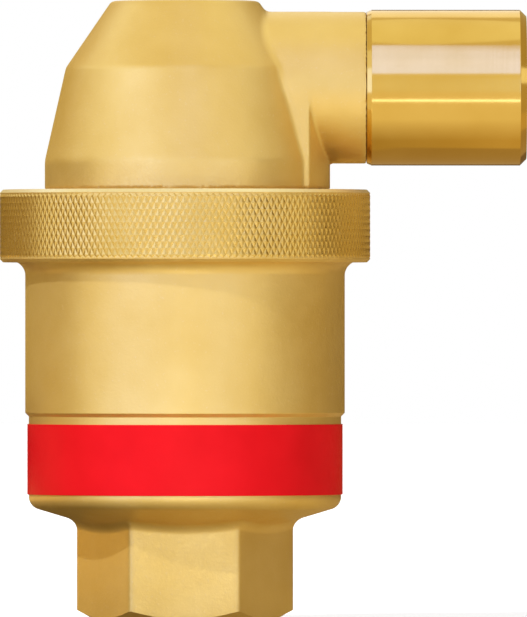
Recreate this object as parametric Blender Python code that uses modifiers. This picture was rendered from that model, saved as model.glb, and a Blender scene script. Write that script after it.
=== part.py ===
"""Automatic air vent: a brass float chamber with a screwed-in cover and a side outlet.

Units are metres, +Z is up. The origin is the centre of the inlet face, the lower end of
the hexagon, and the outlet points along +X. Inside, a float hangs on a bell-crank lever
whose pad closes a small nozzle when water lifts the float.
"""

import math

import bmesh
import bpy

# Clearances
FIT = 0.0003                  # gap between pieces that touch
EYE_SLACK = 0.0001            # extra room for the link pin, whose path is a shallow arc

# Hexagon and inlet socket
HEX_FLATS = 0.0260            # across flats
HEX_FACE_INSET = 0.00065      # end face's round rim inside the flats
HEX_CHAMFER_DEG = 30.0
HEX_HEIGHT = 0.01317          # from the inlet face to the underside, at the middle of a flat
ROOT_FILLET = 0.00175         # between the flats and the underside
INLET_RADIUS = 0.0093         # core of a half-inch female pipe thread
INLET_DEPTH = 0.0125
INLET_MOUTH = 0.0013          # chamfer of the socket's mouth
PORT_STEP = 0.0023            # ledge between the socket and the port into the chamber

# Chamber
LAND_RADIUS = 0.0215          # turned land that carries the band
UNDERSIDE_DEG = 16.7
UNDERSIDE_CORNER = 0.0018
BAND_HEIGHT = 0.0097
BAND_THICKNESS = 0.00032
BAND_PROUD = 0.00022          # how far the band stands out of its land
LAND_ABOVE_BAND = 0.00074
SHOULDER = 0.0005             # step from the land out to the wall
WALL_HEIGHT = 0.0189
WALL_FILLET = 0.0020          # under the collar
WALL_FILLET_DEG = 65.0
COLLAR_REACH = 0.0035         # how far the collar stands out of the wall
COLLAR_HEIGHT = 0.0100
COLLAR_CHAMFER = 0.00045
CHAMBER_WALL = 0.0016         # under the band
CHAMBER_FLOOR_RISE = 0.0016   # floor's edge above the underside corner
CHAMBER_FLOOR_FALL = 0.0022   # how far the floor slopes down to the port
LEDGE = 0.0013                # step out from the chamber to the threaded bore
BORE_DEPTH = 0.0087           # threaded bore in the collar
BORE_MOUTH = 0.0004

# Cover
SKIRT_STOP = 0.0006           # room under the skirt
SKIRT_TUCK = 0.0003           # skirt's top below the collar's face
RIM_STEP = 0.0012             # from the skirt in to the visible rim
RIM_HEIGHT = 0.0040
CONE_HEIGHT = 0.0128
CONE_FALL = 0.0029
CROWN_HEIGHT = 0.0092
CROWN_FALL = 0.0063
CROWN_EDGE = 0.00075
SOFT_EDGE = 0.0015
COVER_WALL = 0.0024
HOLLOW_EASE = 0.00072         # cavity follows the sloping crown this much closer
O_RING_THICK = 0.0017
O_RING_LIP = 0.00085          # skirt left below the groove

# Outlet branch and its coupling
OUTLET_RISE = 0.01405         # axis above the collar's face
BRANCH_RADIUS = 0.01044
BRANCH_END = 0.0247           # along X
WEB_INSET = 0.00005           # web's sides inside the branch's
WEB_STEP = 0.00053            # web's outer face inside the skirt's radius
WEB_LIFT = 0.0003             # web's foot above the collar's face
OUTLET_BORE = 0.0062
SPIGOT_LENGTH = 0.0106
SPIGOT_WALL = 0.0021
SPIGOT_CHAMFER = 0.0005
COUPLING_STEP = 0.00028       # coupling stands out of the branch by this
COUPLING_LENGTH = 0.0220
COUPLING_BACK_CHAMFER = 0.00066
COUPLING_END_CHAMFER = 0.0009
COUPLING_WEB = 0.0020
GASKET_THICK = 0.0010
OUTLET_WALL = 0.0032          # coupling's wall round the outlet thread's core
OUTLET_MOUTH = 0.0007

# Valve, along X on the outlet's axis
SPOT_FACE_X = 0.0155
SPOT_FACE_RADIUS = 0.0080
BULKHEAD = 0.0035
WASHER_THICK = 0.0010
WASHER_RADIUS = 0.0055
BRACKET_SHEET = 0.0008
NOZZLE_FLATS = 0.0080
NOZZLE_HEAD = 0.0013
NOZZLE_TIP = 0.0007
NOZZLE_TIP_RADIUS = 0.0019
NOZZLE_SHANK_RADIUS = 0.0026
NOZZLE_SHANK_SPARE = 0.0008   # shank's end short of the bulkhead's far face
NOZZLE_HOLE = 0.0009
PAD_THICK = 0.0016
PAD_RADIUS = 0.0030
STUD_RADIUS = 0.0009
STUD_HEAD_RADIUS = 0.0018
STUD_HEAD = 0.0006
STUD_GRIP = 0.0007            # depth of the stud in the pad

# Lever
LEVER_SHEET = 0.0008
PIVOT_DROP = 0.00595          # pivot below the outlet's axis
LEVER_SWING_DEG = 22.0
CHEEK_GAP = 0.0064            # between the lever's cheeks
CHEEK_DEPTH = 0.0020
BOSS_RADIUS = 0.0020
CHEEK_SHOULDER = 0.0030       # above the pivot, where the upright arm starts
CHEEK_CROTCH = 0.0040         # above the pivot, where the two arms part
PIVOT_RADIUS = 0.0010
LINK_RADIUS = 0.0009
PIN_HEAD = 0.0008
PIN_HEAD_STEP = 0.0009
CLIP_THICK = 0.0006
CLIP_WIDTH = 0.0010
PIN_END = 0.0004
BRACKET_TOP = 0.0052          # bracket plate above the outlet's axis

# Float
FLOAT_CLEARANCE = 0.0008      # inside the cover's bore
FLOAT_HEIGHT = 0.0236
FLOAT_WALL = 0.0012
FLOAT_FLOOR_GAP = 0.0034
FLOAT_DOME = 0.0045
FLOAT_BOSS_RADIUS = 0.0040
FLOAT_BOSS_HEIGHT = 0.0014
FLOAT_SPIGOT = 0.0030
STEM_RADIUS = 0.00125
STEM_HEAD_RADIUS = 0.0030
STEM_HEAD = 0.0010
EYE_RADIUS = 0.0027
EYE_THICK = 0.0024
STEM_NUT_FLATS = 0.0055
STEM_NUT_HEIGHT = 0.0022
STEM_WASHER_RADIUS = 0.0035
STEM_WASHER_THICK = 0.0006

# Roundness
TURN_STEPS = 36
SMALL_STEPS = 20
ARC_STEPS = 4
HEX_SIDES = 6
SHARP_ANGLE = math.radians(32)
MERGE = 0.000001

# Heights and radii that follow from the sizes above
slope = math.tan(math.radians(UNDERSIDE_DEG))
hex_half = HEX_FLATS / 2
hex_face_radius = hex_half - HEX_FACE_INSET
port_radius = INLET_RADIUS - PORT_STEP
recess_radius = LAND_RADIUS + BAND_PROUD - BAND_THICKNESS - FIT
chamber_radius = recess_radius - CHAMBER_WALL
bore_radius = chamber_radius + LEDGE
wall_radius = LAND_RADIUS + SHOULDER
collar_radius = wall_radius + COLLAR_REACH
corner_z = HEX_HEIGHT + (LAND_RADIUS - hex_half) * slope
recess_low = corner_z + UNDERSIDE_CORNER * math.tan(math.radians((90 - UNDERSIDE_DEG) / 2))
band_low = recess_low + FIT
recess_top = band_low + BAND_HEIGHT + FIT
wall_low = recess_top + LAND_ABOVE_BAND + SHOULDER
wall_top = wall_low + WALL_HEIGHT
collar_low = wall_top + WALL_FILLET * math.sin(math.radians(WALL_FILLET_DEG))
collar_top = collar_low + COLLAR_HEIGHT
floor_edge = recess_low + CHAMBER_FLOOR_RISE
ledge_z = collar_top - BORE_DEPTH

skirt_radius = bore_radius - FIT
skirt_low = ledge_z + SKIRT_STOP
skirt_top = collar_top - SKIRT_TUCK
rim_radius = skirt_radius - RIM_STEP
rim_top = collar_top + RIM_HEIGHT
cone_radius = rim_radius - CONE_FALL
cone_top = rim_top + CONE_HEIGHT
crown_radius = cone_radius - CROWN_FALL
crown_top = cone_top + CROWN_HEIGHT
cover_bore = rim_radius - COVER_WALL
groove_low = skirt_low + O_RING_LIP
groove_top = groove_low + O_RING_THICK + 2 * FIT
groove_radius = bore_radius - O_RING_THICK - 2 * FIT

outlet_z = collar_top + OUTLET_RISE
spigot_radius = OUTLET_BORE + SPIGOT_WALL
spigot_end = BRANCH_END + SPIGOT_LENGTH
coupling_radius = BRANCH_RADIUS + COUPLING_STEP
coupling_low = BRANCH_END + FIT
coupling_end = coupling_low + COUPLING_LENGTH
gasket_low = spigot_end + FIT
coupling_web_low = gasket_low + GASKET_THICK + FIT
coupling_web_top = coupling_web_low + COUPLING_WEB
outlet_radius = coupling_radius - OUTLET_WALL

bulkhead_end = SPOT_FACE_X + BULKHEAD
washer_low = SPOT_FACE_X - FIT - WASHER_THICK
bracket_low = washer_low - FIT - BRACKET_SHEET
head_low = bracket_low - FIT - NOZZLE_HEAD
tip_x = head_low - NOZZLE_TIP
pad_face = tip_x - FIT
pad_back = pad_face - PAD_THICK
sheet_front = pad_back - FIT
pivot_x = sheet_front - LEVER_SHEET / 2
pivot_z = outlet_z - PIVOT_DROP
shank_hole = NOZZLE_SHANK_RADIUS + FIT

swing = math.radians(LEVER_SWING_DEG)
arm = pivot_x
cheek_in = CHEEK_GAP / 2
cheek_out = cheek_in + LEVER_SHEET
ear_in = cheek_out + FIT
ear_out = ear_in + BRACKET_SHEET
link_rest_z = pivot_z - arm * math.sin(swing / 2)
float_travel = 2 * arm * math.sin(swing / 2)

float_radius = cover_bore - FLOAT_CLEARANCE
float_low = floor_edge + FLOAT_FLOOR_GAP
float_top = float_low + FLOAT_HEIGHT
float_seam = float_low + FLOAT_WALL + FIT
boss_top = float_top + FLOAT_BOSS_HEIGHT
stem_hole = STEM_RADIUS + FIT
stem_washer_low = boss_top + FIT
stem_nut_low = stem_washer_low + STEM_WASHER_THICK + FIT
print(f"float travel {float_travel * 1000:.3f} mm, link arm {arm * 1000:.3f} mm")
print(f"pivot at x {pivot_x * 1000:.3f}, z {pivot_z * 1000:.3f} mm, outlet axis z {outlet_z * 1000:.3f} mm")

for old in list(bpy.data.objects):
    bpy.data.objects.remove(old, do_unlink=True)

parts = bpy.data.collections.new("automatic_air_vent")
cutters = bpy.data.collections.new("cutters")
for group in (parts, cutters):
    bpy.context.scene.collection.children.link(group)


def material(name, colour, roughness, metallic):
    made = bpy.data.materials.new(name)
    made.use_nodes = True
    shader = made.node_tree.nodes["Principled BSDF"]
    shader.inputs["Base Color"].default_value = (*colour, 1.0)
    shader.inputs["Roughness"].default_value = roughness
    shader.inputs["Metallic"].default_value = metallic
    return made


forged_brass = material("forged brass", (0.78, 0.57, 0.22), 0.42, 1.0)
turned_brass = material("turned brass", (0.83, 0.64, 0.30), 0.18, 1.0)
red_film = material("red film", (0.83, 0.02, 0.03), 0.35, 0.0)
black_rubber = material("black rubber", (0.03, 0.03, 0.03), 0.75, 0.0)
red_fibre = material("red fibre", (0.38, 0.13, 0.09), 0.85, 0.0)
stainless = material("stainless sheet", (0.62, 0.62, 0.60), 0.30, 1.0)
pale_plastic = material("pale plastic", (0.80, 0.78, 0.70), 0.45, 0.0)


def axis_empty(name, location, turn=(0.0, 0.0, 0.0), parent=None):
    """An empty on the axis of a joint, or on the axis that a stack of pieces shares."""
    made = bpy.data.objects.new(name, None)
    made.empty_display_size = 0.01
    made.location = location
    made.rotation_euler = turn
    made.parent = parent
    parts.objects.link(made)
    return made


def place(name, data, parent, cutter):
    made = bpy.data.objects.new(name, data)
    made.parent = parent
    if cutter:
        made.hide_render = True
        made.display_type = "WIRE"
    (cutters if cutter else parts).objects.link(made)
    return made


def turned(name, profile, parent=None, closed=True, steps=TURN_STEPS, cutter=False):
    """Turn (radius, height) points, listed down the outer side, about the local Z axis."""
    mesh = bpy.data.meshes.new(name)
    edges = [(i, i + 1) for i in range(len(profile) - 1)]
    if closed:
        edges.append((len(profile) - 1, 0))
    mesh.from_pydata([(radius, 0.0, height) for radius, height in profile], edges, [])
    made = place(name, mesh, parent, cutter)
    screw = made.modifiers.new("turn", "SCREW")
    screw.steps = steps
    screw.render_steps = steps
    screw.use_merge_vertices = True
    screw.merge_threshold = MERGE
    return made


def rod(name, radius, low, high, parent=None, steps=SMALL_STEPS, cutter=False):
    outline = [(0.0, high), (radius, high), (radius, low), (0.0, low)]
    return turned(name, outline, parent, closed=False, steps=steps, cutter=cutter)


def washer(name, inner, outer, low, high, parent=None, steps=SMALL_STEPS):
    return turned(name, [(inner, high), (outer, high), (outer, low), (inner, low)], parent, steps=steps)


def round_ring(radius, height, count=TURN_STEPS):
    angles = [2 * math.pi * i / count for i in range(count)]
    return [(radius * math.cos(a), radius * math.sin(a), height) for a in angles]


def hex_ring(half_flats, height, count=TURN_STEPS):
    """A hexagon with a corner on +X. The height is a number, or a rule of the radius."""
    ring = []
    for i in range(count):
        angle = 2 * math.pi * i / count
        radius = half_flats / math.cos(angle % (math.pi / 3) - math.pi / 6)
        level = height(radius) if callable(height) else height
        ring.append((radius * math.cos(angle), radius * math.sin(angle), level))
    return ring


def loft(name, rings, parent=None):
    """A closed tube through rings of equal count, up its outer side and back down its bore."""
    mesh = bpy.data.meshes.new(name)
    shape = bmesh.new()
    rows = [[shape.verts.new(point) for point in ring] for ring in rings]
    for low, high in zip(rows, rows[1:] + rows[:1]):
        for i in range(len(low)):
            j = (i + 1) % len(low)
            shape.faces.new((low[i], low[j], high[j], high[i]))
    shape.to_mesh(mesh)
    shape.free()
    return place(name, mesh, parent, cutter=False)


def block(name, low, high, parent=None, cutter=False):
    mesh = bpy.data.meshes.new(name)
    shape = bmesh.new()
    bmesh.ops.create_cube(shape, size=1.0)
    for vert in shape.verts:
        for i in range(3):
            vert.co[i] = low[i] if vert.co[i] < 0 else high[i]
    shape.to_mesh(mesh)
    shape.free()
    return place(name, mesh, parent, cutter)


def sheet(name, outlines, low_y, high_y, parent=None, cutter=False):
    """A flat sheet standing in the XZ plane, from an outline and the outlines of its holes."""
    curve = bpy.data.curves.new(name, "CURVE")
    curve.dimensions = "2D"
    curve.fill_mode = "BOTH"
    curve.extrude = (high_y - low_y) / 2
    for outline in outlines:
        spline = curve.splines.new("POLY")
        spline.points.add(len(outline) - 1)
        spline.use_cyclic_u = True
        for point, (x, z) in zip(spline.points, outline):
            point.co = (x, z, 0.0, 1.0)
    flat = bpy.data.objects.new(name + " outline", curve)
    parts.objects.link(flat)
    graph = bpy.context.evaluated_depsgraph_get()
    mesh = bpy.data.meshes.new_from_object(flat.evaluated_get(graph))
    bpy.data.objects.remove(flat, do_unlink=True)
    shape = bmesh.new()
    shape.from_mesh(mesh)
    bmesh.ops.remove_doubles(shape, verts=shape.verts, dist=MERGE)
    for vert in shape.verts:
        x, z, along = vert.co
        vert.co = (x, (low_y + high_y) / 2 - along, z)
    bmesh.ops.recalc_face_normals(shape, faces=shape.faces)
    shape.to_mesh(mesh)
    shape.free()
    return place(name, mesh, parent, cutter)


def arc(centre, radius, start, end, steps=ARC_STEPS):
    turns = [math.radians(start + (end - start) * i / steps) for i in range(steps + 1)]
    return [(centre[0] + radius * math.cos(t), centre[1] + radius * math.sin(t)) for t in turns]


def circle(centre, radius, steps=SMALL_STEPS):
    return arc(centre, radius, 0, 360, steps)[:-1]


def rounded(before, corner, after, radius, steps=ARC_STEPS):
    """The points of a tangent arc that takes the place of a profile's corner."""
    into = [(before[i] - corner[i]) / math.dist(before, corner) for i in range(2)]
    away = [(after[i] - corner[i]) / math.dist(after, corner) for i in range(2)]
    half = math.acos(into[0] * away[0] + into[1] * away[1]) / 2
    reach = radius / math.tan(half)
    middle = [into[i] + away[i] for i in range(2)]
    scale = radius / math.sin(half) / math.hypot(*middle)
    centre = [corner[i] + middle[i] * scale for i in range(2)]
    first = [corner[i] + into[i] * reach for i in range(2)]
    last = [corner[i] + away[i] * reach for i in range(2)]
    start = math.degrees(math.atan2(first[1] - centre[1], first[0] - centre[0]))
    end = math.degrees(math.atan2(last[1] - centre[1], last[0] - centre[0]))
    turn = (end - start + 180) % 360 - 180
    return arc(centre, radius, start, start + turn, steps)


def combine(target, tool, operation):
    step = target.modifiers.new(f"{operation} {tool.name}".lower(), "BOOLEAN")
    step.operation = operation
    step.object = tool
    step.solver = "EXACT"


def finish(piece, look):
    """Apply the piece's modifiers, give it its material and shade its round faces smooth."""
    graph = bpy.context.evaluated_depsgraph_get()
    mesh = bpy.data.meshes.new_from_object(piece.evaluated_get(graph))
    piece.modifiers.clear()
    piece.data = mesh
    mesh.materials.clear()
    mesh.materials.append(look)
    mesh.shade_smooth()
    mesh.set_sharp_from_angle(angle=SHARP_ANGLE)
    return piece


# Axes that the pieces share
cover_axis = axis_empty("cover_axis", (0.0, 0.0, 0.0))
outlet_axis = axis_empty("outlet_axis", (0.0, 0.0, outlet_z), (0.0, math.pi / 2, 0.0), cover_axis)
float_axis = axis_empty("float_axis", (0.0, 0.0, 0.0), parent=cover_axis)
pivot_axis = axis_empty("pivot_axis", (pivot_x, 0.0, pivot_z), parent=cover_axis)
lever_axis = axis_empty("lever_axis", (0.0, 0.0, 0.0), (0.0, -swing, 0.0), pivot_axis)


def build_body():
    def chamfer_level(radius):
        return (radius - hex_face_radius) * math.tan(math.radians(HEX_CHAMFER_DEG))

    def level_on_flat(half_flats, height):
        return lambda radius: height + (radius - half_flats) * slope

    fillet_x = hex_half + ROOT_FILLET
    fillet_z = HEX_HEIGHT + ROOT_FILLET * (slope - math.hypot(1.0, slope))
    root = arc((fillet_x, fillet_z), ROOT_FILLET, 180, 90 + UNDERSIDE_DEG)
    rings = [round_ring(hex_face_radius, 0.0), hex_ring(hex_half, chamfer_level)]
    rings += [hex_ring(half, level_on_flat(half, height)) for half, height in root]

    outer = arc((LAND_RADIUS - UNDERSIDE_CORNER, recess_low), UNDERSIDE_CORNER, UNDERSIDE_DEG - 90, 0)
    outer += [(recess_radius, recess_low), (recess_radius, recess_top), (LAND_RADIUS, recess_top)]
    outer += [(LAND_RADIUS, recess_top + LAND_ABOVE_BAND), (wall_radius, wall_low)]
    outer += arc((wall_radius + WALL_FILLET, wall_top), WALL_FILLET, 180, 180 - WALL_FILLET_DEG)
    outer += [(collar_radius - COLLAR_CHAMFER, collar_low), (collar_radius, collar_low + COLLAR_CHAMFER)]
    outer += [(collar_radius, collar_top - COLLAR_CHAMFER), (collar_radius - COLLAR_CHAMFER, collar_top)]
    inner = [(bore_radius + BORE_MOUTH, collar_top), (bore_radius, collar_top - BORE_MOUTH)]
    inner += [(bore_radius, ledge_z), (chamber_radius, ledge_z), (chamber_radius, floor_edge)]
    inner += [(port_radius, floor_edge - CHAMBER_FLOOR_FALL), (port_radius, INLET_DEPTH)]
    inner += [(INLET_RADIUS, INLET_DEPTH), (INLET_RADIUS, INLET_MOUTH), (INLET_RADIUS + INLET_MOUTH, 0.0)]
    rings += [round_ring(radius, height) for radius, height in outer + inner]
    finish(loft("body", rings), forged_brass)

    inside = recess_radius + FIT
    outside = inside + BAND_THICKNESS
    band = washer("marking_band", inside, outside, band_low, band_low + BAND_HEIGHT, steps=TURN_STEPS)
    finish(band, red_film)


def build_cover():
    top = (crown_radius, crown_top)
    shoulder = (cone_radius, cone_top)
    brow = (rim_radius, rim_top)
    foot = (rim_radius, skirt_top)
    profile = [(0.0, crown_top)] + rounded((0.0, crown_top), top, shoulder, CROWN_EDGE)
    profile += rounded(top, shoulder, brow, SOFT_EDGE, steps=2)
    profile += rounded(shoulder, brow, foot, SOFT_EDGE, steps=2)
    profile += [foot, (skirt_radius, skirt_top), (skirt_radius, groove_top), (groove_radius, groove_top)]
    profile += [(groove_radius, groove_low), (skirt_radius, groove_low), (skirt_radius, skirt_low)]
    cap = turned("cap", profile + [(0.0, skirt_low)], cover_axis, closed=False)

    branch_profile = [(0.0, spigot_end), (spigot_radius - SPIGOT_CHAMFER, spigot_end)]
    branch_profile += [(spigot_radius, spigot_end - SPIGOT_CHAMFER), (spigot_radius, BRANCH_END)]
    branch_profile += [(BRANCH_RADIUS, BRANCH_END), (BRANCH_RADIUS, 0.0), (0.0, 0.0)]
    branch = turned("branch", branch_profile, outlet_axis, closed=False, cutter=True)
    combine(cap, branch, "UNION")

    web_side = BRANCH_RADIUS - WEB_INSET
    web_radius = skirt_radius - WEB_STEP
    web_low = (0.0, -web_side, collar_top + WEB_LIFT)
    web = block("web", web_low, (2 * web_radius, web_side, outlet_z), cover_axis, cutter=True)
    web_round = rod("web_round", web_radius, collar_top, crown_top, cover_axis, TURN_STEPS, cutter=True)
    combine(web, web_round, "INTERSECT")
    combine(cap, web, "UNION")

    below = skirt_low - COVER_WALL
    ceiling = crown_top - COVER_WALL
    hollow = [(0.0, ceiling), (crown_radius - COVER_WALL + HOLLOW_EASE, ceiling)]
    hollow += [(cone_radius - COVER_WALL, cone_top - HOLLOW_EASE), (cover_bore, rim_top)]
    hollow += [(cover_bore, below), (0.0, below)]
    combine(cap, turned("cover_hollow", hollow, cover_axis, closed=False, cutter=True), "DIFFERENCE")
    spot = rod("spot_face", SPOT_FACE_RADIUS, 0.0, SPOT_FACE_X, outlet_axis, TURN_STEPS, cutter=True)
    combine(cap, spot, "DIFFERENCE")
    past_end = spigot_end + COVER_WALL
    way_out = [(0.0, past_end), (OUTLET_BORE, past_end), (OUTLET_BORE, bulkhead_end)]
    way_out += [(shank_hole, bulkhead_end), (shank_hole, tip_x), (0.0, tip_x)]
    combine(cap, turned("way_out", way_out, outlet_axis, closed=False, cutter=True), "DIFFERENCE")
    finish(cap, forged_brass)

    ring_low = groove_low + FIT
    ring_radius = groove_radius + FIT + O_RING_THICK / 2
    section = circle((ring_radius, ring_low + O_RING_THICK / 2), O_RING_THICK / 2, steps=10)
    finish(turned("cap_o_ring", section[::-1], cover_axis), black_rubber)


def build_coupling():
    bore = spigot_radius + FIT
    rim = coupling_radius - COUPLING_END_CHAMFER
    profile = [(rim, coupling_end), (coupling_radius, coupling_end - COUPLING_END_CHAMFER)]
    profile += [(coupling_radius, coupling_low + COUPLING_BACK_CHAMFER), (BRANCH_RADIUS, coupling_low)]
    profile += [(bore, coupling_low), (bore, coupling_web_low), (OUTLET_BORE, coupling_web_low)]
    profile += [(OUTLET_BORE, coupling_web_top), (outlet_radius, coupling_web_top)]
    profile += [(outlet_radius, coupling_end - OUTLET_MOUTH), (outlet_radius + OUTLET_MOUTH, coupling_end)]
    finish(turned("outlet_coupling", profile, outlet_axis), turned_brass)
    gasket = washer("outlet_gasket", OUTLET_BORE, spigot_radius, gasket_low, gasket_low + GASKET_THICK,
                    outlet_axis, TURN_STEPS)
    finish(gasket, red_fibre)


def build_valve():
    count = 4 * HEX_SIDES
    head = NOZZLE_FLATS / 2
    head_top = head_low + NOZZLE_HEAD
    shank_end = bulkhead_end - NOZZLE_SHANK_SPARE
    lip = (NOZZLE_TIP_RADIUS + NOZZLE_HOLE) / 2
    rings = [round_ring(lip, tip_x, count), round_ring(NOZZLE_TIP_RADIUS, tip_x + NOZZLE_TIP / 2, count)]
    rings += [round_ring(NOZZLE_TIP_RADIUS, head_low, count), hex_ring(head, head_low, count)]
    rings += [hex_ring(head, head_top, count), round_ring(NOZZLE_SHANK_RADIUS, head_top, count)]
    rings += [round_ring(NOZZLE_SHANK_RADIUS, shank_end, count), round_ring(NOZZLE_HOLE, shank_end, count)]
    rings += [round_ring(NOZZLE_HOLE, tip_x, count)]
    finish(loft("valve_nozzle", rings, outlet_axis), turned_brass)
    washer_top = washer_low + WASHER_THICK
    seal = washer("nozzle_washer", shank_hole, WASHER_RADIUS, washer_low, washer_top, outlet_axis)
    finish(seal, red_fibre)

    foot = -PIVOT_DROP - BOSS_RADIUS
    plate_low = (bracket_low, -ear_out, outlet_z + foot)
    plate_high = (bracket_low + BRACKET_SHEET, ear_out, outlet_z + BRACKET_TOP)
    bracket = block("lever_bracket", plate_low, plate_high, cover_axis)
    pivot = (pivot_x, pivot_z)
    ear = arc(pivot, BOSS_RADIUS, 90, 270, 2 * ARC_STEPS)
    ear += [(bracket_low + BRACKET_SHEET / 2, pivot_z - BOSS_RADIUS)]
    ear += [(bracket_low + BRACKET_SHEET / 2, pivot_z + CHEEK_SHOULDER)]
    hole = circle(pivot, PIVOT_RADIUS + FIT)
    left = sheet("bracket_ear_left", [ear, hole], -ear_out, -ear_in, cover_axis, cutter=True)
    right = sheet("bracket_ear_right", [ear, hole], ear_in, ear_out, cover_axis, cutter=True)
    combine(bracket, left, "UNION")
    combine(bracket, right, "UNION")
    shank = rod("shank_hole", shank_hole, tip_x, SPOT_FACE_X, outlet_axis, cutter=True)
    combine(bracket, shank, "DIFFERENCE")
    finish(bracket, stainless)


def cross_pin(name, radius, head_face, far_face, at, parent):
    """A headed pin along Y: its head lies below head_face, its end beyond far_face and a clip."""
    seat = axis_empty(name + "_axis", (at[0], 0.0, at[1]), (-math.pi / 2, 0.0, 0.0), parent)
    wide = radius + PIN_HEAD_STEP
    head_low = head_face - FIT - PIN_HEAD
    end = far_face + 2 * FIT + CLIP_THICK + PIN_END
    profile = [(0.0, end), (radius, end), (radius, head_low + PIN_HEAD)]
    profile += [(wide, head_low + PIN_HEAD), (wide, head_low), (0.0, head_low)]
    finish(turned(name + "_pin", profile, seat, closed=False, steps=SMALL_STEPS), stainless)
    clip_low = far_face + FIT
    inside = radius + FIT
    clip = washer(name + "_clip", inside, inside + CLIP_WIDTH, clip_low, clip_low + CLIP_THICK, seat)
    finish(clip, stainless)


def build_lever():
    """The lever in its closed pose about the pivot; its axis holds it turned open at rest."""
    half = LEVER_SHEET / 2
    top = PIVOT_DROP + PAD_RADIUS + LEVER_SHEET / 2
    lean = math.degrees(swing / 2)
    link = (-arm * math.cos(swing / 2), arm * math.sin(swing / 2))
    cheek = arc((0.0, 0.0), BOSS_RADIUS, -90 - lean, 0, 2 * ARC_STEPS)
    cheek += [(half, CHEEK_SHOULDER), (half, top), (half - CHEEK_DEPTH, top)]
    cheek += [(half - CHEEK_DEPTH, CHEEK_CROTCH)]
    cheek += arc(link, BOSS_RADIUS, 90 - lean, 270 - lean, 2 * ARC_STEPS)
    holes = [circle((0.0, 0.0), PIVOT_RADIUS + FIT), circle(link, LINK_RADIUS + FIT)]
    lever = sheet("lever", [cheek] + holes, -cheek_out, -cheek_in, lever_axis)
    other = sheet("far_cheek", [cheek] + holes, cheek_in, cheek_out, lever_axis, cutter=True)
    plate_foot = PIVOT_DROP - PAD_RADIUS - LEVER_SHEET / 2
    lap = cheek_in + LEVER_SHEET / 2
    plate = block("pad_plate", (-half, -lap, plate_foot), (half, lap, top), lever_axis, cutter=True)
    combine(plate, other, "UNION")
    combine(lever, plate, "UNION")
    pad_axis = axis_empty("pad_axis", (0.0, 0.0, PIVOT_DROP), (0.0, math.pi / 2, 0.0), lever_axis)
    stud_hole = rod("stud_hole", STUD_RADIUS + FIT, -LEVER_SHEET, LEVER_SHEET, pad_axis, cutter=True)
    combine(lever, stud_hole, "DIFFERENCE")
    finish(lever, stainless)

    back = half + FIT
    socket = STUD_RADIUS + FIT
    pad_top = back + PAD_THICK
    profile = [(0.0, pad_top), (PAD_RADIUS, pad_top), (PAD_RADIUS, back), (socket, back)]
    profile += [(socket, back + STUD_GRIP + FIT), (0.0, back + STUD_GRIP + FIT)]
    finish(turned("valve_pad", profile, pad_axis, closed=False, steps=SMALL_STEPS), black_rubber)
    neck = -half - FIT
    profile = [(0.0, back + STUD_GRIP), (STUD_RADIUS, back + STUD_GRIP), (STUD_RADIUS, neck)]
    profile += [(STUD_HEAD_RADIUS, neck), (STUD_HEAD_RADIUS, neck - STUD_HEAD), (0.0, neck - STUD_HEAD)]
    finish(turned("pad_stud", profile, pad_axis, closed=False, steps=SMALL_STEPS), turned_brass)

    cross_pin("pivot", PIVOT_RADIUS, -ear_out, ear_out, (0.0, 0.0), pivot_axis)
    cross_pin("link", LINK_RADIUS, -cheek_out, cheek_out, link, lever_axis)


def build_float():
    dome = float_top - FLOAT_DOME
    inside = float_radius - FLOAT_WALL
    ceiling = float_top - FLOAT_WALL
    flat = FLOAT_BOSS_RADIUS
    shell = [(stem_hole, boss_top), (flat, boss_top), (flat, float_top)]
    shell += rounded((flat, float_top), (float_radius, float_top), (float_radius, dome), FLOAT_DOME)
    shell += [(float_radius, float_seam), (inside, float_seam)]
    shell += rounded((inside, dome), (inside, ceiling), (flat, ceiling), FLOAT_DOME - FLOAT_WALL)
    shell += [(stem_hole, ceiling)]
    finish(turned("float_shell", shell, float_axis), pale_plastic)

    floor = float_low + FLOAT_WALL
    plug = inside - FIT
    lip = floor + FLOAT_SPIGOT
    base = [(0.0, floor), (plug - FLOAT_WALL, floor), (plug - FLOAT_WALL, lip), (plug, lip), (plug, floor)]
    base += [(float_radius, floor), (float_radius, float_low), (0.0, float_low)]
    finish(turned("float_base", base, float_axis, closed=False), pale_plastic)

    head_top = ceiling - FIT
    stem = [(0.0, link_rest_z), (STEM_RADIUS, link_rest_z), (STEM_RADIUS, head_top)]
    head_low = head_top - STEM_HEAD
    stem += [(STEM_HEAD_RADIUS, head_top), (STEM_HEAD_RADIUS, head_low), (0.0, head_low)]
    rodlet = turned("float_stem", stem, float_axis, closed=False, steps=SMALL_STEPS)
    eye_axis = axis_empty("eye_axis", (0.0, 0.0, link_rest_z), (math.pi / 2, 0.0, 0.0), float_axis)
    eye = rod("eye", EYE_RADIUS, -EYE_THICK / 2, EYE_THICK / 2, eye_axis, cutter=True)
    eye_hole = rod("eye_hole", LINK_RADIUS + FIT + EYE_SLACK, -EYE_THICK, EYE_THICK, eye_axis, cutter=True)
    eye_hole.location.x = arm * (1 - math.cos(swing / 2)) / 2
    combine(rodlet, eye, "UNION")
    combine(rodlet, eye_hole, "DIFFERENCE")
    finish(rodlet, turned_brass)

    spread = washer("stem_washer", stem_hole, STEM_WASHER_RADIUS, stem_washer_low,
                    stem_washer_low + STEM_WASHER_THICK, float_axis)
    finish(spread, stainless)
    count = 4 * HEX_SIDES
    half = STEM_NUT_FLATS / 2
    nut_top = stem_nut_low + STEM_NUT_HEIGHT
    rings = [hex_ring(half, stem_nut_low, count), hex_ring(half, nut_top, count)]
    rings += [round_ring(stem_hole, nut_top, count), round_ring(stem_hole, stem_nut_low, count)]
    finish(loft("stem_nut", rings, float_axis), turned_brass)


build_body()
build_cover()
build_coupling()
build_valve()
build_lever()
build_float()
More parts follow.
